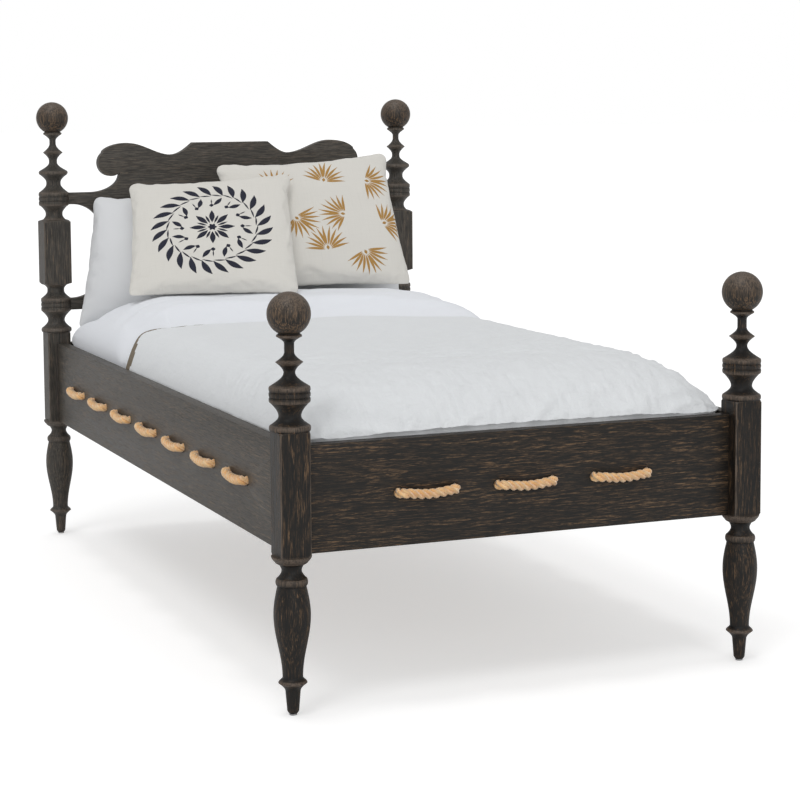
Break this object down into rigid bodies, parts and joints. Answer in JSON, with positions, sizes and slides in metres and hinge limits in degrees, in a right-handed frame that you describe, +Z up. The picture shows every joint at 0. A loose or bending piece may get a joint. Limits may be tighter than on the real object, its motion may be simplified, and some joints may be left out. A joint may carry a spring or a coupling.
{
  "type": "rope bed",
  "caption": "Turned four-post bed with ball finials, shaped headboard and rope laced through plank rails, made up with mattress, duvet, coverlet and pillows.",
  "frame": {"origin": "on the floor at the middle of the bed", "axes": "+Z up, +Y towards the headboard, +X to the right seen from the foot"},
  "size_m": [1.148, 2.09, 1.245],
  "materials": {
    "oak": "wire-brushed ebonised oak, satin, edges rubbed through to brown",
    "steel": "zinc-plated bed fittings and screws",
    "rope": "three-strand laid rope, straw colour",
    "ticking": "woven cotton ticking",
    "sheeting": "cool white cotton percale",
    "linen": "washed off-white linen, crinkled, with a tan reverse",
    "pillow_canvas": null
  },
  "bodies": {
    "bed_frame": {"foot_post_left": "oak", "foot_post_right": "oak", "head_post_left": "oak", "head_post_right": "oak", "foot_ball_left": "oak", "foot_ball_right": "oak", "head_ball_left": "oak", "head_ball_right": "oak", "finial_dowels": "oak", "leg_glides": "steel", "side_rail_left": "oak", "side_rail_right": "oak", "foot_rail": "oak", "head_rail": "oak", "headboard_panel": "oak", "hook_plates": "steel", "slot_plates": "steel", "plate_screws": "steel", "cross_ropes": "rope", "long_ropes": "rope", "rope_knots": "rope"},
    "made_mattress": {"mattress": "ticking", "fitted_sheet": "sheeting"},
    "folded_duvet": {"duvet": "sheeting"},
    "linen_coverlet": {"coverlet": "linen"},
    "left_sleeping_pillow": {"sleeping_pillow_left": "sheeting"},
    "right_sleeping_pillow": {"sleeping_pillow_right": "sheeting"},
    "rear_throw_pillow": {"throw_pillow_rear": "pillow_canvas"},
    "front_throw_pillow": {"throw_pillow_front": "pillow_canvas"}
  },
  "joints": [
    {"name": "mattress_lift", "type": "slide", "parent": "bed_frame", "child": "made_mattress", "axis": [0, 0, 1], "range_m": [0, 0.8]},
    {"name": "duvet_lift", "type": "slide", "parent": "made_mattress", "child": "folded_duvet", "axis": [0, 0, 1], "range_m": [0, 0.65]},
    {"name": "coverlet_lift", "type": "slide", "parent": "folded_duvet", "child": "linen_coverlet", "axis": [0, 0, 1], "range_m": [0, 0.75]},
    {"name": "left_pillow_lift", "type": "slide", "parent": "folded_duvet", "child": "left_sleeping_pillow", "axis": [0, 0, 1], "range_m": [0, 0.65]},
    {"name": "right_pillow_lift", "type": "slide", "parent": "left_sleeping_pillow", "child": "right_sleeping_pillow", "axis": [0, 0, 1], "range_m": [0, 0.65]},
    {"name": "rear_throw_lift", "type": "slide", "parent": "right_sleeping_pillow", "child": "rear_throw_pillow", "axis": [0, 0, 1], "range_m": [0, 0.55]},
    {"name": "front_throw_lift", "type": "slide", "parent": "rear_throw_pillow", "child": "front_throw_pillow", "axis": [0, 0, 1], "range_m": [0, 0.55]}
  ]
}
